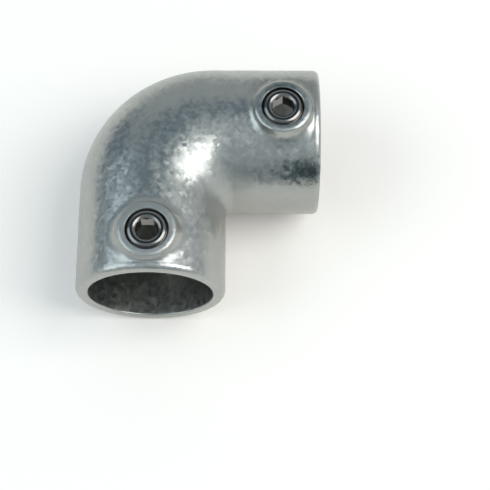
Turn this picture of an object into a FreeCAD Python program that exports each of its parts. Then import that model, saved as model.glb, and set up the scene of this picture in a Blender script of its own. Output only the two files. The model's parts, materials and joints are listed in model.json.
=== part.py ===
import FreeCAD, Part
import math
import os
import Sketcher

# Pipe key clamp: a cast 90 degree elbow with two sockets, and a set screw in each socket's boss.
# It lies flat with both screws pointing up. The rail socket opens to +X and the post socket to -Y.
# The casting's own origin is where the two socket axes cross.

doc = FreeCAD.newDocument("pipe_key_clamp")
V = FreeCAD.Vector
UP = V(0, 0, 1)

# Driving dimensions, in millimetres and degrees, measured from the axes' crossing
driving_sizes = {
    "leg_length": 67,
    "outer_radius": 29.5,
    "bend_radius": 24,
    "saddle_radius": 33,
    "socket_radius": 24.6,
    "socket_depth": 42,
    "passage_radius": 22.6,
    "passage_corner": 15.4,
    "mouth_round": 1.8,
    "socket_chamfer": 0.7,
    "boss_station": 52,
    "boss_root": 18,
    "boss_face": 32.3,
    "boss_radius": 11.3,
    "boss_draft": 4,
    "boss_brim": 0.9,
    "boss_foot": 1.5,
    "tapped_radius": 8.33,
    "tapped_reach": 17,
    "tapped_chamfer": 0.5,
    "screw_radius": 8.28,
    "screw_length": 7.8,
    "screw_face": 32.5,
    "screw_face_radius": 6.4,
    "screw_head_chamfer": 1.5,
    "screw_tip_radius": 7.7,
    "screw_tip_chamfer": 0.5,
    "cup_radius": 5.6,
    "cup_floor_radius": 3.8,
    "cup_depth": 1.6,
    "hex_flats": 8,
    "hex_lead_radius": 5.5,
    "hex_lead_depth": 1.3,
}
sizes = doc.addObject("Spreadsheet::Sheet", "sizes")
for number, (alias, value) in enumerate(driving_sizes.items(), 1):
    sizes.set("A%d" % number, alias)
    sizes.set("B%d" % number, str(value))
    sizes.setAlias("B%d" % number, alias)
doc.recompute()


def plane(body, axes):
    """The body's own origin plane, by its two axis letters."""
    for item in body.Origin.OriginFeatures:
        if item.Name.startswith(axes + "_Plane"):
            return item
    raise ValueError(axes)


def new_body(label):
    """An empty body with the label that also names its file."""
    body = doc.addObject("PartDesign::Body", label)
    body.Label = label
    return body


def sketch_on(body, name, axes, height=None):
    """A sketch that lies flat on one of the body's origin planes, or at a height above it."""
    sketch = body.newObject("Sketcher::SketchObject", name)
    sketch.AttachmentSupport = (plane(body, axes), [""])
    sketch.MapMode = "FlatFace"
    if height:
        sketch.setExpression("AttachmentOffset.Base.z", height)
    return sketch


def bind(sketch, kind, members, expression):
    """Adds a dimension between the members and ties it to the sheet."""
    start = sketch.evalExpression(expression)
    index = sketch.addConstraint(Sketcher.Constraint(kind, *members, start))
    sketch.setExpression("Constraints[%d]" % index, expression)


def place_point(sketch, item, end, x, y):
    """Holds one end of an item at (x, y), given as expressions, with 0 meaning on the axis."""
    if x == "0":
        sketch.addConstraint(Sketcher.Constraint("PointOnObject", item, end, -2))
    else:
        bind(sketch, "DistanceX", (-1, 1, item, end), x)
    if y == "0":
        sketch.addConstraint(Sketcher.Constraint("PointOnObject", item, end, -1))
    else:
        bind(sketch, "DistanceY", (-1, 1, item, end), y)


def circle(sketch, radius, x="0", y="0"):
    """A full circle of that radius with its centre at (x, y), all given as expressions."""
    centre = V(sketch.evalExpression(x), sketch.evalExpression(y), 0)
    item = sketch.addGeometry(Part.Circle(centre, UP, sketch.evalExpression(radius)))
    bind(sketch, "Radius", (item,), radius)
    place_point(sketch, item, 3, x, y)


def outline(sketch, corners):
    """A closed outline of straight lines through corners given as pairs of expressions."""
    points = [V(sketch.evalExpression(x), sketch.evalExpression(y), 0) for x, y in corners]
    count = len(corners)
    for index in range(count):
        sketch.addGeometry(Part.LineSegment(points[index], points[(index + 1) % count]))
    for index in range(count):
        sketch.addConstraint(Sketcher.Constraint("Coincident", index, 2, (index + 1) % count, 1))
    for index, (x, y) in enumerate(corners):
        place_point(sketch, index, 1, x, y)
    doc.recompute()


def route(sketch, stops):
    """An open path of straight runs through stops given as pairs of expressions."""
    points = [V(sketch.evalExpression(x), sketch.evalExpression(y), 0) for x, y in stops]
    runs = [sketch.addGeometry(Part.LineSegment(a, b)) for a, b in zip(points, points[1:])]
    for run, following in zip(runs, runs[1:]):
        sketch.addConstraint(Sketcher.Constraint("Coincident", run, 2, following, 1))
    for run, (x, y) in zip(runs, stops):
        place_point(sketch, run, 1, x, y)
    place_point(sketch, runs[-1], 2, *stops[-1])
    doc.recompute()


def built(feature):
    """Recomputes and makes sure that the feature came out as a sound shape."""
    doc.recompute()
    if "Invalid" in feature.State or feature.Shape.isNull() or not feature.Shape.isValid():
        raise ValueError(feature.Name + " did not build: " + feature.getStatusString())
    return feature


def pad(body, name, sketch, length):
    """Pads a sketch along its normal."""
    feature = body.newObject("PartDesign::Pad", name)
    feature.Profile = sketch
    feature.setExpression("Length", length)
    return built(feature)


def pocket(body, name, sketch, length):
    """Cuts a sketch into the body against its normal, and makes sure that it cut."""
    before = body.Shape.Volume
    feature = body.newObject("PartDesign::Pocket", name)
    feature.Profile = sketch
    feature.setExpression("Length", length)
    built(feature)
    if not body.Shape.Volume < before - 1:
        raise ValueError(name + " cut nothing")


def revolve(body, name, sketch, axis, angle):
    """Turns a sketch round one of its axes by an angle, back from the axis's own sense of turning."""
    feature = body.newObject("PartDesign::Revolution", name)
    feature.Profile = sketch
    feature.ReferenceAxis = (sketch, [axis])
    feature.Angle = angle
    feature.Reversed = True
    return built(feature)


def groove(body, name, sketch, axis):
    """Cuts a sketch turned once round one of its axes, and makes sure that it cut."""
    before = body.Shape.Volume
    feature = body.newObject("PartDesign::Groove", name)
    feature.Profile = sketch
    feature.ReferenceAxis = (sketch, [axis])
    feature.Angle = 360
    built(feature)
    if not body.Shape.Volume < before - 1:
        raise ValueError(name + " cut nothing")


def dress(body, kind, name, edges, attribute, expression):
    """Rounds or chamfers the listed edges of the body's last feature."""
    base = body.Tip
    feature = body.newObject(kind, name)
    feature.Base = (base, edges)
    feature.setExpression(attribute, expression)
    built(feature)


def edges_where(body, test):
    """Names of the edges for which the test holds at three points along them."""
    found = []
    for number, edge in enumerate(body.Tip.Shape.Edges, 1):
        first, last = edge.ParameterRange
        points = [edge.valueAt(first + (last - first) * share) for share in (0.0, 0.37, 0.81)]
        if all(test(p) for p in points):
            found.append("Edge%d" % number)
    return found


def near(a, b, tolerance=0.02):
    return abs(a - b) < tolerance


# Elbow casting, galvanised malleable iron
casting = new_body("elbow_casting")
casting.setExpression("Placement.Base.x", "-(sizes.leg_length - sizes.outer_radius) / 2")
casting.setExpression("Placement.Base.y", "(sizes.leg_length - sizes.outer_radius) / 2")
casting.setExpression("Placement.Base.z", "sizes.outer_radius")

# Each leg with the plane of its section, and the side of the section that is the elbow's outer one
LEGS = (("post", "XZ", -1), ("rail", "YZ", 1))


def half_disc(sketch, side, x="0"):
    """Half of the casting's round section, with its centre at x: side -1 is the half towards -x."""
    centre_x = sketch.evalExpression(x)
    radius = sizes.outer_radius
    top = V(centre_x, radius, 0)
    bottom = V(centre_x, -radius, 0)
    arc = sketch.addGeometry(Part.Arc(top, V(centre_x + side * radius, 0, 0), bottom))
    chord = sketch.addGeometry(Part.LineSegment(top, bottom))
    top_end = 1 if near(sketch.getPoint(arc, 1).y, radius) else 2
    sketch.addConstraint(Sketcher.Constraint("Coincident", chord, 1, arc, top_end))
    sketch.addConstraint(Sketcher.Constraint("Coincident", chord, 2, arc, 3 - top_end))
    sketch.addConstraint(Sketcher.Constraint("PointOnObject", arc, 3, chord))
    sketch.addConstraint(Sketcher.Constraint("Vertical", chord))
    bind(sketch, "Radius", (arc,), "sizes.outer_radius")
    place_point(sketch, arc, 3, x, "0")
    doc.recompute()


def quarter_turn(name, turn_radius, side):
    """Half of the casting's section, turned by a quarter from the post's axis to the rail's."""
    section = sketch_on(casting, name + "_section", "XZ", turn_radius)
    section.setExpression("AttachmentOffset.Base.x", turn_radius)
    half_disc(section, side, "-" + turn_radius)
    turned = revolve(casting, name, section, "V_Axis", 90)
    if not near(turned.Shape.optimalBoundingBox().YMax, sizes.outer_radius):
        raise ValueError(name + " turned the wrong way")


def quarter_arc(sketch, turn_radius):
    """A quarter circle from the rail's axis to the post's, round the turn's own centre."""
    turn = sketch.evalExpression(turn_radius)
    whole = Part.Circle(V(turn, -turn, 0), UP, turn)
    arc = sketch.addGeometry(Part.ArcOfCircle(whole, math.pi / 2, math.pi))
    place_point(sketch, arc, 3, turn_radius, "-" + turn_radius)
    place_point(sketch, arc, 1, turn_radius, "0")
    bind(sketch, "DistanceY", (-1, 1, arc, 2), "-" + turn_radius)
    return arc


# Bend and saddle: the outer half of the section turns tightly and the inner half more widely, so that the
# corner between the legs is a soft saddle. A level crest fills the crescent between the two turns.
quarter_turn("bend", "sizes.bend_radius", -1)

crest_plan = sketch_on(casting, "crest_plan", "XY")
arcs = [quarter_arc(crest_plan, turn) for turn in ("sizes.bend_radius", "sizes.saddle_radius")]
for end in (1, 2):
    start, stop = (crest_plan.getPoint(arc, end) for arc in arcs)
    side = crest_plan.addGeometry(Part.LineSegment(start, stop))
    crest_plan.addConstraint(Sketcher.Constraint("Coincident", side, 1, arcs[0], end))
    crest_plan.addConstraint(Sketcher.Constraint("Coincident", side, 2, arcs[1], end))
doc.recompute()
crest = pad(casting, "crest", crest_plan, "2 * sizes.outer_radius")
crest.SideType = "Symmetric"
built(crest)

quarter_turn("saddle", "sizes.saddle_radius", 1)

# Legs: the straight outer barrels of the two sockets, whose outer flanks reach back to the bend. The rim of
# each mouth is rounded over, here in two flats that touch the round at its middle.
eighth = "sizes.mouth_round * (1 - cos(45 deg))"
barrel = [
    ("sizes.saddle_radius", "0"),
    ("sizes.saddle_radius", "sizes.outer_radius"),
    ("sizes.leg_length - sizes.mouth_round", "sizes.outer_radius"),
    ("sizes.leg_length - " + eighth, "sizes.outer_radius - " + eighth),
    ("sizes.leg_length", "sizes.outer_radius - sizes.mouth_round"),
    ("sizes.leg_length", "0"),
]
for leg, axes, outer_side in LEGS:
    flank_section = sketch_on(casting, leg + "_flank_section", axes, "sizes.bend_radius")
    half_disc(flank_section, outer_side)
    pad(casting, leg + "_flank", flank_section, "sizes.saddle_radius - sizes.bend_radius")
    barrel_section = sketch_on(casting, leg + "_barrel_section", "XY")
    if leg == "rail":
        outline(barrel_section, barrel)
        revolve(casting, leg + "_barrel", barrel_section, "H_Axis", 360)
    else:
        outline(barrel_section, [(across, "-(" + along + ")") for along, across in barrel])
        revolve(casting, leg + "_barrel", barrel_section, "V_Axis", 360)

# Bosses: drafted round pads, one on the crest of each leg
boss_section = sketch_on(casting, "boss_section", "XY", "sizes.boss_root")
boss_height = "(sizes.boss_face - sizes.boss_root)"
root_radius = "sizes.boss_radius + " + boss_height + " * tan(sizes.boss_draft * 1 deg)"
circle(boss_section, root_radius, x="sizes.boss_station")
circle(boss_section, root_radius, y="-sizes.boss_station")
bosses = pad(casting, "bosses", boss_section, boss_height)
bosses.setExpression("TaperAngle", "-sizes.boss_draft")
built(bosses)


def from_boss(p):
    """Distance from the nearer boss axis."""
    rail = math.hypot(p.x - sizes.boss_station, p.y)
    post = math.hypot(p.x, p.y + sizes.boss_station)
    return min(rail, post)


def at_boss_foot(p):
    """On the line where a boss meets its leg: just outside the boss face, at the crest or a little below."""
    spread = 1.5
    fall = 5
    beside = 0 < from_boss(p) - sizes.boss_radius < spread
    return beside and -fall < p.z - sizes.outer_radius < 0.01


def at_boss_brim(p):
    return near(from_boss(p), sizes.boss_radius) and near(p.z, sizes.boss_face)


dress(casting, "PartDesign::Chamfer", "boss_foot", edges_where(casting, at_boss_foot),
      "Size", "sizes.boss_foot")
dress(casting, "PartDesign::Chamfer", "boss_brim", edges_where(casting, at_boss_brim),
      "Size", "sizes.boss_brim")

# Hollow: a narrower passage runs from shoulder to shoulder, behind the pipes' ends, and turns the corner
# in two mitred steps. The wider sockets end at the shoulders, which stop the pipes.
shoulder = "(sizes.leg_length - sizes.socket_depth)"
passage_route = sketch_on(casting, "passage_route", "XY")
route(passage_route, [
    ("0", "-" + shoulder),
    ("0", "-sizes.passage_corner"),
    ("sizes.passage_corner", "0"),
    (shoulder, "0"),
])
passage_section = sketch_on(casting, "passage_section", "XZ", shoulder)
circle(passage_section, "sizes.passage_radius")
doc.recompute()
before = casting.Shape.Volume
passage = casting.newObject("PartDesign::SubtractivePipe", "passage")
passage.Profile = passage_section
passage.Spine = passage_route
passage.Transition = "Right corner"
built(passage)
removed = before - casting.Shape.Volume
passage_volume = math.pi * sizes.passage_radius ** 2 * passage_route.Shape.Length
if not near(removed, passage_volume, 50):
    raise ValueError("the passage missed the bend: %.0f of %.0f" % (removed, passage_volume))

for leg, axes, _ in LEGS:
    mouth = sketch_on(casting, leg + "_mouth", axes, "sizes.leg_length")
    circle(mouth, "sizes.socket_radius")
    pocket(casting, leg + "_socket", mouth, "sizes.socket_depth")


def at_socket_edge(p):
    """On the edge of the bore in the end face of either leg."""
    post = near(p.y, -sizes.leg_length) and near(math.hypot(p.x, p.z), sizes.socket_radius)
    rail = near(p.x, sizes.leg_length) and near(math.hypot(p.y, p.z), sizes.socket_radius)
    return post or rail


dress(casting, "PartDesign::Chamfer", "socket_lead", edges_where(casting, at_socket_edge),
      "Size", "sizes.socket_chamfer")

# Tapped holes, through each boss into its socket
hole_section = sketch_on(casting, "hole_section", "XY", "sizes.boss_face")
circle(hole_section, "sizes.tapped_radius", x="sizes.boss_station")
circle(hole_section, "sizes.tapped_radius", y="-sizes.boss_station")
pocket(casting, "tapped_holes", hole_section, "sizes.boss_face - sizes.tapped_reach")


def at_hole_brim(p):
    return near(from_boss(p), sizes.tapped_radius) and near(p.z, sizes.boss_face)


dress(casting, "PartDesign::Chamfer", "hole_lead", edges_where(casting, at_hole_brim),
      "Size", "sizes.tapped_chamfer")


# Set screws, plated steel: a plug with a chamfered head, a cup point and a hexagon right through it
def set_screw(label, place_x, place_y, first_corner):
    """One set screw with its own origin in the middle of its head; first_corner turns the hexagon."""
    body = new_body(label)
    body.setExpression("Placement.Base.x", place_x)
    body.setExpression("Placement.Base.y", place_y)
    body.setExpression("Placement.Base.z", "sizes.outer_radius + sizes.screw_face")

    profile = sketch_on(body, label + "_profile", "XZ")
    outline(profile, [
        ("0", "0"),
        ("sizes.screw_face_radius", "0"),
        ("sizes.screw_radius", "-sizes.screw_head_chamfer"),
        ("sizes.screw_radius", "sizes.screw_tip_chamfer - sizes.screw_length"),
        ("sizes.screw_tip_radius", "-sizes.screw_length"),
        ("sizes.cup_radius", "-sizes.screw_length"),
        ("sizes.cup_floor_radius", "sizes.cup_depth - sizes.screw_length"),
        ("0", "sizes.cup_depth - sizes.screw_length"),
    ])
    revolve(body, label + "_plug", profile, "V_Axis", 360)

    hexagon = sketch_on(body, label + "_hexagon", "XY")
    corner_radius = sizes.hex_flats / math.sqrt(3)
    turns = [math.radians(first_corner + 60 * index) for index in range(6)]
    points = [V(corner_radius * math.cos(t), corner_radius * math.sin(t), 0) for t in turns]
    for index in range(6):
        hexagon.addGeometry(Part.LineSegment(points[index], points[(index + 1) % 6]))
    guide = hexagon.addGeometry(Part.Circle(V(0, 0, 0), UP, corner_radius), True)
    for index in range(6):
        hexagon.addConstraint(Sketcher.Constraint("Coincident", index, 2, (index + 1) % 6, 1))
        hexagon.addConstraint(Sketcher.Constraint("PointOnObject", index, 1, guide))
    for index in range(5):
        hexagon.addConstraint(Sketcher.Constraint("Equal", index, index + 1))
    hexagon.addConstraint(Sketcher.Constraint("Coincident", guide, 3, -1, 1))
    corner_axis = -1 if first_corner == 0 else -2
    hexagon.addConstraint(Sketcher.Constraint("PointOnObject", 0, 1, corner_axis))
    bind(hexagon, "Diameter", (guide,), "2 * sizes.hex_flats / sqrt(3)")
    doc.recompute()
    pocket(body, label + "_socket", hexagon, "sizes.screw_length")

    lead_in = sketch_on(body, label + "_lead_in_section", "XZ")
    outline(lead_in, [
        ("0", "0"),
        ("sizes.hex_lead_radius", "0"),
        ("sizes.hex_flats / 2", "-sizes.hex_lead_depth"),
        ("0", "-sizes.hex_lead_depth"),
    ])
    groove(body, label + "_lead_in", lead_in, "V_Axis")
    return body


middle = "(sizes.leg_length - sizes.outer_radius) / 2"
rail_screw = set_screw("rail_set_screw", "sizes.boss_station - " + middle, middle, 90)
post_screw = set_screw("post_set_screw", "-" + middle, middle + " - sizes.boss_station", 0)

# Checks and the files
doc.recompute()
for item in doc.Objects:
    if "Invalid" in item.State or "Error" in item.State:
        raise ValueError(item.Name + " did not build")
os.makedirs("parts", exist_ok=True)
for body in (casting, rail_screw, post_screw):
    shape = body.Shape
    if shape.isNull() or not shape.isValid() or len(shape.Solids) != 1:
        raise ValueError(body.Label + " is not one sound solid")
    print(body.Label, round(shape.Volume), "mm3", len(shape.Faces), "faces", shape.BoundBox)
    shape.exportStep("parts/%s.step" % body.Label)
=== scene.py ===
import json

import bpy
import numpy as np
from mathutils import Matrix, Vector


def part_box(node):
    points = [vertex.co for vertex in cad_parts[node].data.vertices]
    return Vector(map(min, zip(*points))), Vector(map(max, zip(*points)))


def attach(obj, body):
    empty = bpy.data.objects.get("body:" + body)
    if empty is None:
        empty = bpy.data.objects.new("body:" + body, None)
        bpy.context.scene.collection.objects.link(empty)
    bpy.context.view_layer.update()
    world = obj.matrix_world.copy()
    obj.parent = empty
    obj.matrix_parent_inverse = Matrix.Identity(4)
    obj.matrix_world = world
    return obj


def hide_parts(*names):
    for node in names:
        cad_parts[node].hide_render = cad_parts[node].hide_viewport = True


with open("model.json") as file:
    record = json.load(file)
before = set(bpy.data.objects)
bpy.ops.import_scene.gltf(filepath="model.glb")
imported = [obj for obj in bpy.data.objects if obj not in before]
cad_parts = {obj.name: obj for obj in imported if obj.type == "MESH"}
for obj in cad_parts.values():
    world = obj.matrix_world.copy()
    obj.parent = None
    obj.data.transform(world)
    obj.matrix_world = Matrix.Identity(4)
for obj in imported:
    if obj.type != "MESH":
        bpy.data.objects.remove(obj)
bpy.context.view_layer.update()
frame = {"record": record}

# Elbow casting
# One piece of malleable iron, sand cast and hot dip galvanised: two open sockets, the bend between
# them and a raised, tapped boss on the crest of each. The outer sweep turns tighter than the wall's own
# radius, and a wider turn rounds the inner corner into a soft saddle.
MM = 0.001
mounts = {mount["name"]: mount for mount in frame["record"]["mounts"]}
rail_socket = mounts["rail_socket"]["pos_m"]
post_socket = mounts["post_socket"]["pos_m"]
crossing = np.array([post_socket[0], rail_socket[1], rail_socket[2]])
casting_low, casting_high = (np.array(corner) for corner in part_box("elbow_casting"))
leg_length = casting_high[0] - crossing[0]
outer_radius = crossing[2] - casting_low[2]
boss_face = casting_high[2] - crossing[2]
socket_radius = mounts["rail_socket"]["dims"]["r_mm"] * MM
socket_depth = 42 * MM
passage_radius = 22.6 * MM
bend_radius = 24 * MM
saddle_radius = 33 * MM
saddle_start = -8 * MM
saddle_end = 16 * MM
mouth_round = 1.8 * MM
mouth_reach = 2.4 * MM
socket_lead = 0.7 * MM
shoulder_round = 0.5 * MM
boss_station = 52 * MM
boss_radius = 11 * MM
boss_draft = np.tan(np.radians(18))
brim_width = 1.5 * MM
brim_drop = 0.8 * MM
foot_spread = 3.3 * MM
foot_blend = foot_spread / 3
foot_margin = 0.2 * MM
foot_rise = 0.55 * MM
foot_rise_share = 0.5
round_fullness = 0.75
hole_radius = 8.33 * MM
hole_lead = 0.3 * MM
thread_pitch = 1.337 * MM
hole_groove = 0.5 * MM


def smooth_max(a, b, width):
    """The larger of a and b, with the corner where they cross rounded over the given width."""
    return np.maximum(a, b) + np.maximum(width - np.abs(a - b), 0) ** 2 / (4 * width)


def elbow_skin(radius, turn, station, share, around):
    """A circle of the row's radius, carried along the elbow. Each point of it keeps its lateral offset and
    its height, goes through the turn's angle on an arc of its own, and then runs on straight to its station,
    or a share of the way there. The arc's radius is the bend's less the offset, and on the outer skin the
    bend's widens to the saddle's towards the inner side, as a smooth step of the offset."""
    lateral = radius * np.cos(around)
    height = radius * np.sin(around)
    inward = np.clip((lateral - saddle_start) / (saddle_end - saddle_start), 0, 1)
    inner_turn = np.where(radius > socket_radius, saddle_radius, bend_radius)
    arc_end = bend_radius + (inner_turn - bend_radius) * inward ** 2 * (3 - 2 * inward)
    arc = arc_end - lateral
    beyond = share * (station - arc_end)
    x = arc_end - arc * np.cos(turn) + beyond * np.sin(turn)
    y = arc * np.sin(turn) - arc_end - beyond * np.cos(turn)
    return np.stack([x, y, height], axis=-1)


def rows(radius, station, share=1.0):
    """Rows of a leg's wall: radius, distance from the crossing, and share of the way to that distance."""
    return np.stack(np.broadcast_arrays(radius, station, share), axis=-1)


def inner_steps(start, stop, count):
    """Evenly spaced values from start to stop, without start."""
    return np.linspace(start, stop, count + 1)[1:]


def quarter(count):
    """Sine and one less cosine of evenly spaced angles from 0 to 90 degrees."""
    angle = np.linspace(0, np.pi / 2, count + 1)
    return np.sin(angle), 1 - np.cos(angle)


window_near = 36 * MM
window_far = leg_length - mouth_reach
bore_near = 40 * MM
bore_far = 64 * MM
shoulder = leg_length - socket_depth
leg_steps = 8
window_steps = 24
mouth_steps = 8
small_round_steps = 4
rim_steps = 4
bore_end_steps = 2
bore_deep_steps = 10
shoulder_steps = 2
passage_shares = np.array([0.75, 0.5, 0.25])
rise, fall = quarter(mouth_steps)
small_rise, small_fall = quarter(small_round_steps)
rim = inner_steps(outer_radius - mouth_round, socket_radius + socket_lead, rim_steps)
ledge = inner_steps(socket_radius - shoulder_round, passage_radius + shoulder_round, shoulder_steps)
wall = np.concatenate([
    rows(outer_radius, window_near, inner_steps(0, 1, leg_steps)),
    rows(outer_radius, inner_steps(window_near, window_far, window_steps)),
    rows(outer_radius - mouth_round * fall[1:], leg_length - mouth_reach * (1 - rise[1:])),
    rows(rim, leg_length),
    rows(socket_radius + socket_lead * (1 - small_rise[1:]), leg_length - socket_lead * small_fall[1:]),
    rows(socket_radius, inner_steps(leg_length - socket_lead, bore_far, bore_end_steps)),
    rows(socket_radius, inner_steps(bore_far, bore_near, window_steps)),
    rows(socket_radius, inner_steps(bore_near, shoulder + shoulder_round, bore_deep_steps)),
    rows(socket_radius - shoulder_round * small_fall[1:], shoulder + shoulder_round * (1 - small_rise[1:])),
    rows(ledge, shoulder),
    rows(passage_radius + shoulder_round * (1 - small_rise[1:]), shoulder - shoulder_round * small_fall[1:]),
    rows(passage_radius, shoulder - shoulder_round, passage_shares),
])
bend_steps = 84
passage_steps = 40
bend_turns = np.linspace(0, np.pi / 2, bend_steps + 1)
passage_turns = np.linspace(np.pi / 2, 0, passage_steps + 1)
columns = 192
around = np.pi / 2 + np.arange(columns) * 2 * np.pi / columns
# The rows close on themselves: over the bend, along the rail leg's skin and back in by its bore, through
# the passage, and out by the post leg's bore and back along its skin.
loop = np.concatenate([
    rows(outer_radius, np.zeros(len(bend_turns)), 0),
    wall,
    rows(passage_radius, np.zeros(len(passage_turns)), 0),
    wall[::-1],
])
turns = np.concatenate([
    bend_turns,
    np.full(len(wall), np.pi / 2),
    passage_turns,
    np.zeros(len(wall)),
])
skin = elbow_skin(loop[:, :1], turns[:, None], loop[:, 1:2], loop[:, 2:], around)
skin_points = skin.reshape(-1, 3)
skin_index = np.arange(len(skin_points)).reshape(len(loop), columns)


def quads(index, flip=False):
    """Four-cornered faces between neighbouring rows of an index grid whose columns close on themselves."""
    beside = np.roll(index, -1, axis=1)
    corners = [index[:-1], index[1:], beside[1:], beside[:-1]]
    if flip:
        corners.reverse()
    return np.stack(corners, axis=-1)


boss_run_steps = 6
boss_round_steps = 8
boss_wall_steps = 3
boss_face_steps = 4
hole_rings = 60
bore_run_steps = 7
foot_rounds = 8


def boss_rows(window_rim, bore_rim):
    """A boss and its hole as rings round the boss axis, from the window in the leg's skin to the window in
    the bore. Along each ring's rays the leg's skin runs in, rises through the foot's hollow round, the
    drafted wall and the shallow brim to the flat face, drops down the tapped hole and runs out along the
    bore. The foot is where the drafted wall meets the leg, found by stepping from one to the other until it
    settles. The thread is a cosine groove that falls one pitch for each turn."""
    ray = np.arctan2(window_rim[:, 1], window_rim[:, 0])
    rim_reach = np.hypot(window_rim[:, 0], window_rim[:, 1])

    def leg_height(reach):
        """Height of the leg's cylinder: the root of its radius squared less the offset squared."""
        return np.sqrt(outer_radius ** 2 - (reach * np.sin(ray)) ** 2)

    def wall_reach(height):
        """Reach of the drafted wall: the boss's radius and the draft times the depth below its face."""
        return boss_radius + (boss_face - height) * boss_draft

    def conic(start, corner, end):
        """A round from start to end that leaves and arrives along the lines to the corner: their average,
        weighted by (1 - s) squared, twice the fullness times s (1 - s), and s squared."""
        s = inner_steps(0, 1, boss_round_steps)[:, None]
        first = (1 - s) ** 2
        second = 2 * round_fullness * s * (1 - s)
        third = s ** 2
        total = first + second + third
        reach = (first * start[0] + second * corner[0] + third * end[0]) / total
        height = (first * start[1] + second * corner[1] + third * end[1]) / total
        return np.stack([reach, height], axis=-1)

    foot = np.full(len(ray), boss_radius)
    for _ in range(foot_rounds):
        foot = wall_reach(leg_height(foot))
    foot_height = leg_height(foot)
    skirt = foot - smooth_max(-foot_spread, foot + foot_margin - rim_reach, foot_blend)
    skirt_height = leg_height(skirt)
    skirt_slope = -skirt * np.sin(ray) ** 2 / skirt_height
    brim_height = np.full(len(ray), boss_face - brim_drop)
    rise_height = foot_height + foot_rise + foot_rise_share * (brim_height - foot_height)
    rise_reach = wall_reach(rise_height)
    meet = rise_reach - boss_draft * (skirt_height - skirt_slope * skirt - rise_height)
    meet = meet / (1 + boss_draft * skirt_slope)
    meet_height = skirt_height + skirt_slope * (meet - skirt)
    brim = wall_reach(brim_height)
    level = np.full(len(ray), boss_face)
    flat = np.full(len(ray), boss_radius - brim_width)
    lead = np.full(len(ray), hole_radius + hole_lead)

    run_in = inner_steps(0, 1, boss_run_steps)[:, None] * (skirt - rim_reach) + rim_reach
    climb = inner_steps(0, 1, boss_wall_steps)[:, None] * (brim_height - rise_height) + rise_height
    face = inner_steps(0, 1, boss_face_steps)[:, None] * (lead - flat) + flat
    bottom = np.sqrt(socket_radius ** 2 - (hole_radius * np.sin(ray)) ** 2) + hole_lead
    top = boss_face - hole_lead
    drop = np.linspace(0, 1, hole_rings)[:, None] * (bottom - top) + top
    fade = np.clip((top - drop) / thread_pitch, 0, 1) * np.clip((drop - bottom) / thread_pitch, 0, 1)
    groove = 0.5 - 0.5 * np.cos(2 * np.pi * drop / thread_pitch - ray)
    hole = hole_radius + hole_groove * fade * groove
    rings = np.concatenate([
        np.stack([run_in, leg_height(run_in)], axis=-1),
        conic((skirt, skirt_height), (meet, meet_height), (rise_reach, rise_height)),
        np.stack([wall_reach(climb), climb], axis=-1),
        conic((brim, brim_height), (wall_reach(level), level), (flat, level)),
        np.stack([face, np.broadcast_to(level, face.shape)], axis=-1),
        np.stack([hole, drop], axis=-1),
    ])
    length = rings[..., 0] * np.cos(ray)
    width = rings[..., 0] * np.sin(ray)
    boss = np.stack([length, width, rings[..., 1]], axis=-1)
    edge = (hole_radius + hole_lead) * np.stack([np.cos(ray), np.sin(ray)], axis=-1)
    shares = np.linspace(0, 1, bore_run_steps, endpoint=False)[:, None, None]
    spread = shares * (bore_rim - edge) + edge
    bore = np.sqrt(socket_radius ** 2 - spread[..., 1:] ** 2)
    return np.concatenate([boss, np.concatenate([spread, bore], axis=-1)])


def window(station_rows, window_columns):
    """Indices round the edge of a window, out along its near side and back along its far side."""
    return np.concatenate([
        skin_index[station_rows[0], window_columns[:-1]],
        skin_index[station_rows[:-1], window_columns[-1]],
        skin_index[station_rows[-1], window_columns[:0:-1]],
        skin_index[station_rows[:0:-1], window_columns[0]],
    ])


# A boss takes the place of a window of cells in its leg's skin, and its hole ends in one in the bore.
tiny = 0.001 * MM
on_skin = np.abs(wall[:, 0] - outer_radius) < tiny
on_bore = np.abs(wall[:, 0] - socket_radius) < tiny
in_window = (wall[:, 1] > window_near - tiny) & (wall[:, 1] < window_far + tiny) & (wall[:, 2] > 1 - tiny)
in_bore = (wall[:, 1] > bore_near - tiny) & (wall[:, 1] < bore_far + tiny)
window_rows = np.flatnonzero(on_skin & in_window)
bore_rows = np.flatnonzero(on_bore & in_bore)[::-1]
half_window = 20
window_columns = np.arange(-half_window, half_window + 1) % columns
rail_start = len(bend_turns)
post_end = len(loop) - 1
rail_turn = np.array([[1, 0, 0], [0, -1, 0], [0, 0, 1]])
post_turn = np.array([[0, -1, 0], [1, 0, 0], [0, 0, 1]])
legs = {
    "rail": (rail_start + window_rows, rail_start + bore_rows, rail_turn),
    "post": (post_end - window_rows, post_end - bore_rows, post_turn),
}
boss_axis = np.array([boss_station, 0])
open_cells = np.zeros((len(loop), columns), bool)
casting_points = [skin_points]
casting_faces = []
for leg, (skin_rows, hole_rows, leg_turn) in legs.items():
    for cut_rows in (skin_rows, hole_rows):
        open_cells[np.ix_(np.sort(cut_rows)[:-1], window_columns[:-1])] = True
    rim_index = window(skin_rows, window_columns)
    bore_index = window(hole_rows, window_columns)
    window_rim = (skin_points[rim_index] @ leg_turn.T)[:, :2] - boss_axis
    bore_rim = (skin_points[bore_index] @ leg_turn.T)[:, :2] - boss_axis
    boss = boss_rows(window_rim, bore_rim)
    boss[..., 0] += boss_station
    first = sum(len(points) for points in casting_points)
    boss_index = first + np.arange(boss.shape[0] * boss.shape[1]).reshape(boss.shape[:2])
    boss_index = np.concatenate([rim_index[None], boss_index, bore_index[None]])
    casting_points.append(boss.reshape(-1, 3) @ leg_turn)
    casting_faces.append(quads(boss_index, flip=leg == "post").reshape(-1, 4))
closed_index = np.concatenate([skin_index, skin_index[:1]])
casting_faces.append(quads(closed_index)[~open_cells])
casting_faces = np.concatenate(casting_faces)
used, casting_faces = np.unique(casting_faces, return_inverse=True)
casting_points = np.concatenate(casting_points)[used] + crossing


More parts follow.
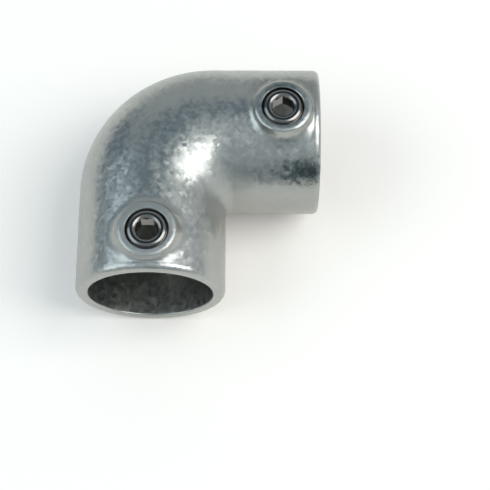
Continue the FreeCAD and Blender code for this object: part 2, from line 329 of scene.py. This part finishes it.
def new_piece(name, points, faces, sharp=40):
    """A mesh object at the origin, smooth except along edges that turn by more than the sharp angle."""
    mesh = bpy.data.meshes.new(name)
    mesh.from_pydata(points, [], faces)
    mesh.shade_smooth()
    mesh.set_sharp_from_angle(angle=np.radians(sharp))
    piece = bpy.data.objects.new(name, mesh)
    bpy.context.scene.collection.objects.link(piece)
    return piece


def add_node(tree, kind, **settings):
    """A shader node with some of its own settings."""
    node = tree.nodes.new(kind)
    for key, value in settings.items():
        setattr(node, key, value)
    return node


def new_material(name):
    """A material with a metal surface, and its node tree, surface and place on the piece."""
    material = bpy.data.materials.new(name)
    material.use_nodes = True
    tree = material.node_tree
    surface = tree.nodes["Principled BSDF"]
    surface.inputs["Metallic"].default_value = 1.0
    place = add_node(tree, "ShaderNodeTexCoord").outputs["Object"]
    return material, tree, surface, place


def noise(tree, place, scale, detail, roughness=0.5):
    """Cloudy noise from 0 to 1: waves of that scale, with finer and fainter layers of them added."""
    node = add_node(tree, "ShaderNodeTexNoise")
    node.inputs["Scale"].default_value = scale
    node.inputs["Detail"].default_value = detail
    node.inputs["Roughness"].default_value = roughness
    tree.links.new(place, node.inputs["Vector"])
    return node.outputs["Fac"]


def smooth_step(tree, value, start, stop, low=0.0, high=1.0):
    """A smooth step from low to high as the value goes from start to stop."""
    node = add_node(tree, "ShaderNodeMapRange", interpolation_type="SMOOTHSTEP")
    node.inputs["From Min"].default_value = start
    node.inputs["From Max"].default_value = stop
    node.inputs["To Min"].default_value = low
    node.inputs["To Max"].default_value = high
    tree.links.new(value, node.inputs["Value"])
    return node.outputs["Result"]


def largest(tree, values):
    """The largest of some values."""
    most = values[0]
    for value in values[1:]:
        node = add_node(tree, "ShaderNodeMath", operation="MAXIMUM")
        tree.links.new(most, node.inputs[0])
        tree.links.new(value, node.inputs[1])
        most = node.outputs["Value"]
    return most


def ramp(tree, value, stops):
    """A colour ramp through the given positions and colours."""
    node = add_node(tree, "ShaderNodeValToRGB")
    for number, (position, colour) in enumerate(stops):
        elements = node.color_ramp.elements
        stop = elements[number] if number < 2 else elements.new(position)
        stop.position = position
        stop.color = colour
    tree.links.new(value, node.inputs["Fac"])
    return node.outputs["Color"]


def blend(tree, share, under, over):
    """The colour under, with that share of it covered by the colour over."""
    node = add_node(tree, "ShaderNodeMix", data_type="RGBA")
    tree.links.new(share, node.inputs["Factor"])
    tree.links.new(under, node.inputs["A"])
    node.inputs["B"].default_value = over
    return node.outputs["Result"]


def distance_from(tree, place, centre, reach):
    """Distance from a centre, in units of the reach along each axis: the length of place less centre over
    reach."""
    scaled = add_node(tree, "ShaderNodeMapping")
    scaled.inputs["Location"].default_value = -centre / reach
    scaled.inputs["Scale"].default_value = 1 / reach
    tree.links.new(place, scaled.inputs["Vector"])
    distance = add_node(tree, "ShaderNodeVectorMath", operation="LENGTH")
    tree.links.new(scaled.outputs["Vector"], distance.inputs[0])
    return distance.outputs["Value"]


def painted_dark_share(tree, place, ragged, centre, reach, raggedness, bareness):
    """How much painted darkness a place gets, as painted shade and painted dark reflection on the zinc: most
    at its centre, falling in a smooth step of the distance plus the ragged noise, which counts from its
    middle value and is scaled by the raggedness."""
    fade = 0.9
    middle = raggedness / 2
    edge = add_node(tree, "ShaderNodeMath", operation="MULTIPLY_ADD")
    tree.links.new(ragged, edge.inputs[0])
    edge.inputs[1].default_value = raggedness
    tree.links.new(distance_from(tree, place, centre, reach), edge.inputs[2])
    return smooth_step(tree, edge.outputs["Value"], start=middle + fade, stop=middle, high=bareness)


def dull_share(tree, place, centre, reach, dullness):
    """How milky a thick place is: most near its centre, falling in a smooth step of the distance."""
    distance = distance_from(tree, place, centre, reach)
    return smooth_step(tree, distance, start=1.0, stop=0.3, high=dullness)


def hot_dip_zinc(painted_dark_places, dull_places):
    """Zinc as it sets on a hot casting: fine crystals that each lean a little their own way, with clear ones
    that mirror and milky ones that scatter, and a slightly uneven skin. At the painted dark places the
    colour is blended towards dark grey as painted shade and painted dark reflection, and at the dull ones
    the zinc has run together and set thick and milky."""
    material, tree, clear, place = new_material("hot_dip_zinc")
    links = tree.links

    clear_colour = ramp(tree, noise(tree, place, scale=70, detail=5, roughness=0.6), [
        (0.35, (0.37, 0.38, 0.36, 1)),
        (0.65, (0.415, 0.42, 0.397, 1)),
    ])
    # Painted shade and painted dark reflection: the dark grey that the painted dark places are blended
    # towards.
    painted_dark_colour = (0.07, 0.09, 0.085, 1)
    ragged = noise(tree, place, scale=420, detail=5, roughness=0.7)
    bareness = largest(tree, [painted_dark_share(tree, place, ragged, **spot) for spot in painted_dark_places])
    links.new(blend(tree, bareness, clear_colour, painted_dark_colour), clear.inputs["Base Color"])
    clear.inputs["Roughness"].default_value = 0.28

    crystal_lean = 0.05
    crystals = add_node(tree, "ShaderNodeTexVoronoi")
    crystals.inputs["Scale"].default_value = 600
    links.new(place, crystals.inputs["Vector"])
    lean = add_node(tree, "ShaderNodeVectorMath", operation="MULTIPLY_ADD")
    links.new(crystals.outputs["Color"], lean.inputs[0])
    lean.inputs[1].default_value = np.full(3, 2 * crystal_lean)
    lean.inputs[2].default_value = np.full(3, -crystal_lean)
    geometry = add_node(tree, "ShaderNodeNewGeometry")
    leaned = add_node(tree, "ShaderNodeVectorMath", operation="ADD")
    links.new(geometry.outputs["Normal"], leaned.inputs[0])
    links.new(lean.outputs["Vector"], leaned.inputs[1])
    normal = add_node(tree, "ShaderNodeVectorMath", operation="NORMALIZE")
    links.new(leaned.outputs["Vector"], normal.inputs[0])
    bump = add_node(tree, "ShaderNodeBump")
    bump.inputs["Strength"].default_value = 1.0
    bump.inputs["Distance"].default_value = 0.012 * MM
    links.new(noise(tree, place, scale=700, detail=3), bump.inputs["Height"])
    links.new(normal.outputs["Vector"], bump.inputs["Normal"])
    links.new(bump.outputs["Normal"], clear.inputs["Normal"])

    milky = add_node(tree, "ShaderNodeBsdfPrincipled")
    milky.inputs["Metallic"].default_value = 1.0
    milky.inputs["Base Color"].default_value = (0.435, 0.44, 0.42, 1)
    milky.inputs["Roughness"].default_value = 0.5
    links.new(bump.outputs["Normal"], milky.inputs["Normal"])
    cloud = noise(tree, place, scale=450, detail=6, roughness=0.7)
    mottle = smooth_step(tree, cloud, start=0.4, stop=0.64, low=0.03, high=0.65)
    dull = [dull_share(tree, place, **spot) for spot in dull_places]
    milkiness = add_node(tree, "ShaderNodeMath", operation="SUBTRACT", use_clamp=True)
    links.new(largest(tree, [mottle] + dull), milkiness.inputs[0])
    links.new(bareness, milkiness.inputs[1])
    surface = add_node(tree, "ShaderNodeMixShader")
    links.new(milkiness.outputs["Value"], surface.inputs["Fac"])
    links.new(clear.outputs["BSDF"], surface.inputs[1])
    links.new(milky.outputs["BSDF"], surface.inputs[2])
    links.new(surface.outputs["Shader"], tree.nodes["Material Output"].inputs["Surface"])
    return material


# Painted dark reflection on the rail leg's front flank near its mouth, darkening the zinc's colour there.
mouth_turn = np.radians(49)
by_mouth = crossing + np.array([
    leg_length - 5 * MM,
    -outer_radius * np.sin(mouth_turn),
    outer_radius * np.cos(mouth_turn),
])
by_mouth_reach = np.array([18, 9, 9]) * MM
# Painted shade round the back of the rail boss, darkening the zinc's colour there.
behind_boss = crossing + np.array([boss_station, 12 * MM, boss_face - 4 * MM])
behind_boss_reach = np.array([20, 13, 13]) * MM
painted_dark_places = [
    {"centre": by_mouth, "reach": by_mouth_reach, "raggedness": 2.4, "bareness": 0.9},
    {"centre": behind_boss, "reach": behind_boss_reach, "raggedness": 0.6, "bareness": 0.6},
]
inner_corner = crossing + np.array([27, -27, 10]) * MM
post_boss = crossing + np.array([0, -boss_station, boss_face])
dull_reach = np.full(3, 20 * MM)
dull_places = [
    {"centre": inner_corner, "reach": dull_reach, "dullness": 0.95},
    {"centre": post_boss, "reach": dull_reach, "dullness": 0.9},
]
casting = new_piece("elbow_casting_skin", casting_points, casting_faces.reshape(-1, 4))
casting.data.materials.append(hot_dip_zinc(painted_dark_places, dull_places))
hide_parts("elbow_casting")
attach(casting, "elbow")

# Set screws
# One in each boss: a short plug of dark plated steel, turned and screwed in, with a fine thread, a rounded
# head, a cup point at its lower end, and a hexagon for the key that goes right through.
thread_root = 7.43 * MM
crest_flat = 1.25
head_face_radius = 6.3 * MM
head_tilt = np.radians(15)
head_round = 3.26 * MM
tip_radius = 7.7 * MM
tip_chamfer = 0.5 * MM
cup_radius = 5.6 * MM
cup_slope = 1.6 / 1.8
hexagon_flats = 8 * MM
lip_radius = 5.55 * MM
lip_tilt = np.radians(12)
lip_round = 2.2 * MM
edge_break = 0.12 * MM
screw_columns = 96
side_rings = 150
lip_steps = 8
key_steps = 6


def screw_surface(radius, length, first_corner):
    """A turned profile as rings round the screw's axis, from the hexagon's lower end out over the cup point,
    up the side, over the head and down the hexagon. The side is the least of the thread, the head's round
    and the point's chamfer; the thread is a cosine between root and crest, cut flat at the crest, that rises
    one pitch for each turn. The hexagon's reach on a ray is half its flats over the cosine of the angle from
    the nearest flat."""
    ray = first_corner + np.arange(screw_columns) * 2 * np.pi / screw_columns
    from_flat = np.mod(ray - first_corner, np.pi / 3) - np.pi / 6
    key = hexagon_flats / 2 / np.cos(from_flat)

    def lip(reach):
        """Height of the rounded lip round the hexagon, which tilts more and more towards its edge."""
        tilt = np.arcsin((lip_radius - reach) / lip_round + np.sin(lip_tilt))
        return lip_round * (np.cos(tilt) - np.cos(lip_tilt))

    def ring(reach, level):
        """One circle of the profile, at that reach and level."""
        return np.broadcast_arrays(reach * np.ones(screw_columns), level)

    height = np.linspace(-length, 0, side_rings)[:, None] + np.zeros(screw_columns)
    wave = 0.5 + 0.5 * np.cos(2 * np.pi * height / thread_pitch - ray)
    thread = thread_root + (radius - thread_root) * np.minimum(crest_flat * wave, 1)
    head_turn = np.arccos(np.clip(np.cos(head_tilt) + height / head_round, 0, 1))
    head = head_face_radius + head_round * (np.sin(head_turn) - np.sin(head_tilt))
    point = tip_radius + (height + length) * (radius - tip_radius) / tip_chamfer
    side = np.minimum(np.minimum(thread, head), point)

    lip_reach = lip_radius + inner_steps(0, 1, lip_steps)[:, None] * (key - lip_radius)
    key_top = lip(key)
    key_bottom = (cup_radius - key) * cup_slope - length
    key_wall = key_top + inner_steps(0, 1, key_steps)[:-1, None] * (key_bottom - key_top)
    profile = [
        (key, key_bottom),
        ring(cup_radius, -length),
        (side, height),
        ring(head_face_radius - edge_break, 0.0),
        ring(lip_radius, 0.0),
        (lip_reach, lip(lip_reach)),
        (np.broadcast_to(key, key_wall.shape), key_wall),
    ]
    reach = np.concatenate([np.atleast_2d(part[0]) for part in profile])
    level = np.concatenate([np.atleast_2d(part[1]) for part in profile])
    return np.stack([reach * np.cos(ray), reach * np.sin(ray), level], axis=-1)


def plated_steel(name, axis_x, axis_y, radius):
    """Turned and plated steel, with fine rings left by the tool round the screw's own axis. Its colour goes
    by the share of the radius: darkened as painted shade in a ring between the hexagon's lip and the head's
    round, and again beyond the round, out to the thread, as painted shade in the gap to the boss's hole."""
    material, tree, surface, place = new_material(name)
    links = tree.links
    centred = add_node(tree, "ShaderNodeMapping")
    centred.inputs["Location"].default_value = (-axis_x, -axis_y, 0)
    centred.inputs["Scale"].default_value = (1, 1, 0)
    links.new(place, centred.inputs["Vector"])
    turned = add_node(tree, "ShaderNodeTexWave", wave_type="RINGS", rings_direction="Z")
    turned.inputs["Scale"].default_value = 900
    turned.inputs["Distortion"].default_value = 1.5
    turned.inputs["Detail"].default_value = 2
    links.new(centred.outputs["Vector"], turned.inputs["Vector"])
    bump = add_node(tree, "ShaderNodeBump")
    bump.inputs["Strength"].default_value = 0.4
    bump.inputs["Distance"].default_value = 0.01 * MM
    links.new(turned.outputs["Fac"], bump.inputs["Height"])
    links.new(bump.outputs["Normal"], surface.inputs["Normal"])

    from_axis = add_node(tree, "ShaderNodeVectorMath", operation="LENGTH")
    links.new(centred.outputs["Vector"], from_axis.inputs[0])
    across = add_node(tree, "ShaderNodeMapRange")
    across.inputs["From Max"].default_value = radius
    links.new(from_axis.outputs["Value"], across.inputs["Value"])
    steel = (0.22, 0.21, 0.2, 1)
    # Painted shade: the dark colour of the two rings on the screw's head and side.
    painted_shade_steel = (0.07, 0.067, 0.062, 1)
    colour = ramp(tree, across.outputs["Result"], [
        (0.655, steel),
        (0.69, painted_shade_steel),
        (0.74, painted_shade_steel),
        (0.765, steel),
        (0.85, steel),
        (0.89, painted_shade_steel),
    ])
    links.new(colour, surface.inputs["Base Color"])

    stain = add_node(tree, "ShaderNodeMapRange")
    stain.inputs["To Min"].default_value = 0.12
    stain.inputs["To Max"].default_value = 0.26
    links.new(noise(tree, place, scale=350, detail=4), stain.inputs["Value"])
    links.new(stain.outputs["Result"], surface.inputs["Roughness"])
    return material


screw_sharp = 32
rail_corner = np.radians(90)
post_corner = np.radians(0)
screws = {
    "rail_set_screw": ("rail_screw", rail_corner),
    "post_set_screw": ("post_screw", post_corner),
}
for screw_name, (screw_body, first_corner) in screws.items():
    screw_low, screw_high = (np.array(corner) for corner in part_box(screw_name))
    screw_axis = (screw_low + screw_high) / 2
    screw_radius = (screw_high[0] - screw_low[0]) / 2
    screw_length = screw_high[2] - screw_low[2]
    rings = screw_surface(screw_radius, screw_length, first_corner)
    rings = rings + np.array([screw_axis[0], screw_axis[1], screw_high[2]])
    ring_index = np.arange(rings.shape[0] * screw_columns).reshape(-1, screw_columns)
    screw_faces = quads(np.concatenate([ring_index, ring_index[:1]]), flip=True).reshape(-1, 4)
    screw = new_piece(screw_name + "_turned", rings.reshape(-1, 3), screw_faces, screw_sharp)
    screw_steel = plated_steel(screw_name + "_steel", screw_axis[0], screw_axis[1], screw_radius)
    screw.data.materials.append(screw_steel)
    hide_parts(screw_name)
    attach(screw, screw_body)

# Floor
# A wide sheet of white card, laid flat, that the casting lies on and mirrors, with its soft shadow. A faint
# glow lifts the card to white, and only the camera and mirrored or refracted rays see it.
floor_half = 6.0
floor_corners = np.array([[-1, -1, 0], [1, -1, 0], [1, 1, 0], [-1, 1, 0]]) * floor_half
floor = new_piece("floor", floor_corners, [[0, 1, 2, 3]])
floor_material = bpy.data.materials.new("white_card")
floor_material.use_nodes = True
floor_tree = floor_material.node_tree
floor_card = floor_tree.nodes["Principled BSDF"]
floor_card.inputs["Base Color"].default_value = (0.99, 0.945, 0.88, 1)
floor_card.inputs["Roughness"].default_value = 1.0
floor_card.inputs["Specular IOR Level"].default_value = 0.0
floor_card.inputs["Emission Color"].default_value = (0.1, 0.085, 0.085, 1)
floor_rays = add_node(floor_tree, "ShaderNodeLightPath").outputs
floor_seen = largest(floor_tree, [
    floor_rays["Is Camera Ray"],
    floor_rays["Is Glossy Ray"],
    floor_rays["Is Transmission Ray"],
])
floor_tree.links.new(floor_seen, floor_card.inputs["Emission Strength"])
floor.data.materials.append(floor_material)

# Studio light
# A bluish room with a dark ceiling behind the part, a pale wall below that, and two dark gaps, one behind
# on the left and one in front. Two softboxes stand in it: a strong one to the right, and a weaker,
# bluish one to the left.
world = bpy.data.worlds.new("studio")
bpy.context.scene.world = world
world.use_nodes = True
sky = world.node_tree
direction = add_node(sky, "ShaderNodeTexCoord").outputs["Generated"]
split = add_node(sky, "ShaderNodeSeparateXYZ")
sky.links.new(direction, split.inputs["Vector"])
upward = split.outputs["Z"]
flattened = add_node(sky, "ShaderNodeVectorMath", operation="MULTIPLY")
sky.links.new(direction, flattened.inputs[0])
flattened.inputs[1].default_value = (1, 1, 0)
heading = add_node(sky, "ShaderNodeVectorMath", operation="NORMALIZE")
sky.links.new(flattened.outputs["Vector"], heading.inputs[0])
room = ramp(sky, upward, [
    (0.0, (0.53, 0.58, 0.61, 1)),
    (0.30, (0.47, 0.53, 0.57, 1)),
    (0.70, (0.50, 0.58, 0.62, 1)),
    (0.92, (0.43, 0.51, 0.565, 1)),
    (1.0, (0.48, 0.56, 0.625, 1)),
])


def panel(behind, azimuth, inner, outer, low, high, colour):
    """A stretch of the room's wall in another colour, over what is behind it. It is full within the inner
    angle from its azimuth and gone past the outer one, and fades out between the low and high elevation."""
    inner, outer, azimuth, low, high = np.radians([inner, outer, azimuth, low, high])
    facing = add_node(sky, "ShaderNodeVectorMath", operation="DOT_PRODUCT")
    sky.links.new(heading.outputs["Vector"], facing.inputs[0])
    facing.inputs[1].default_value = (np.cos(azimuth), np.sin(azimuth), 0)
    share = add_node(sky, "ShaderNodeMath", operation="MULTIPLY")
    aside = smooth_step(sky, facing.outputs["Value"], start=np.cos(outer), stop=np.cos(inner))
    below = smooth_step(sky, upward, start=np.sin(high), stop=np.sin(low))
    sky.links.new(aside, share.inputs[0])
    sky.links.new(below, share.inputs[1])
    return blend(sky, share.outputs["Value"], behind, colour)


dark_ceiling = (0.15, 0.23, 0.29, 1)
pale_wall = (0.51, 0.56, 0.59, 1)
back_gap = (0.13, 0.20, 0.26, 1)
front_gap = (0.20, 0.27, 0.305, 1)
room = panel(room, azimuth=112, inner=46, outer=78, low=70, high=84, colour=dark_ceiling)
room = panel(room, azimuth=75, inner=48, outer=62, low=42, high=50, colour=pale_wall)
room = panel(room, azimuth=146, inner=10, outer=26, low=24, high=42, colour=back_gap)
room = panel(room, azimuth=-84, inner=8, outer=22, low=20, high=40, colour=front_gap)
sky.links.new(room, sky.nodes["Background"].inputs["Color"])


def softbox(name, azimuth, elevation, width, height, power, colour):
    """A rectangular lamp at that azimuth and elevation from the casting's crossing, facing it."""
    distance = 1.2
    lamp = bpy.data.lights.new(name, "AREA")
    lamp.shape = "RECTANGLE"
    lamp.size = width
    lamp.size_y = height
    lamp.energy = power
    lamp.color = colour
    box = bpy.data.objects.new(name, lamp)
    azimuth, elevation = np.radians([azimuth, elevation])
    aim = Vector((
        np.cos(elevation) * np.cos(azimuth),
        np.cos(elevation) * np.sin(azimuth),
        np.sin(elevation),
    ))
    box.location = Vector(crossing) + aim * distance
    box.rotation_euler = aim.to_track_quat("Z", "Y").to_euler()
    bpy.context.scene.collection.objects.link(box)


white = (1, 1, 0.98)
bluish = (0.82, 0.93, 1)
softbox("right_softbox", azimuth=-8, elevation=50, width=0.76, height=0.94, power=8.0, colour=white)
softbox("left_softbox", azimuth=-174, elevation=41, width=1.12, height=0.92, power=5.0, colour=bluish)

# Camera
# Above the part and a little in front, as in the photograph, with the middle of the picture
# just in front of the inner corner.
picture_width = 490
focal_pixels = 1356
camera_distance = 542.7 * MM
camera_elevation = np.radians(67.9)
camera_azimuth = np.radians(-0.8)
camera_roll = np.radians(0.82)
camera_target = crossing + np.array([37.27, -45.67, 0]) * MM
backward = np.array([
    np.sin(camera_azimuth) * np.cos(camera_elevation),
    -np.cos(camera_azimuth) * np.cos(camera_elevation),
    np.sin(camera_elevation),
])
level_right = np.array([np.cos(camera_azimuth), np.sin(camera_azimuth), 0])
level_up = np.cross(backward, level_right)
rolled_right = np.cos(camera_roll) * level_right + np.sin(camera_roll) * level_up
rolled_up = np.cos(camera_roll) * level_up - np.sin(camera_roll) * level_right
camera_data = bpy.data.cameras.new("camera")
camera_data.sensor_fit = "HORIZONTAL"
camera_data.lens = camera_data.sensor_width * focal_pixels / picture_width
camera = bpy.data.objects.new("camera", camera_data)
camera_place = np.eye(4)
camera_place[:3, 0] = rolled_right
camera_place[:3, 1] = rolled_up
camera_place[:3, 2] = backward
camera_place[:3, 3] = camera_target + backward * camera_distance
camera.matrix_world = Matrix(camera_place.tolist())
bpy.context.scene.collection.objects.link(camera)
bpy.context.scene.camera = camera
bpy.context.scene.view_settings.view_transform = "Standard"
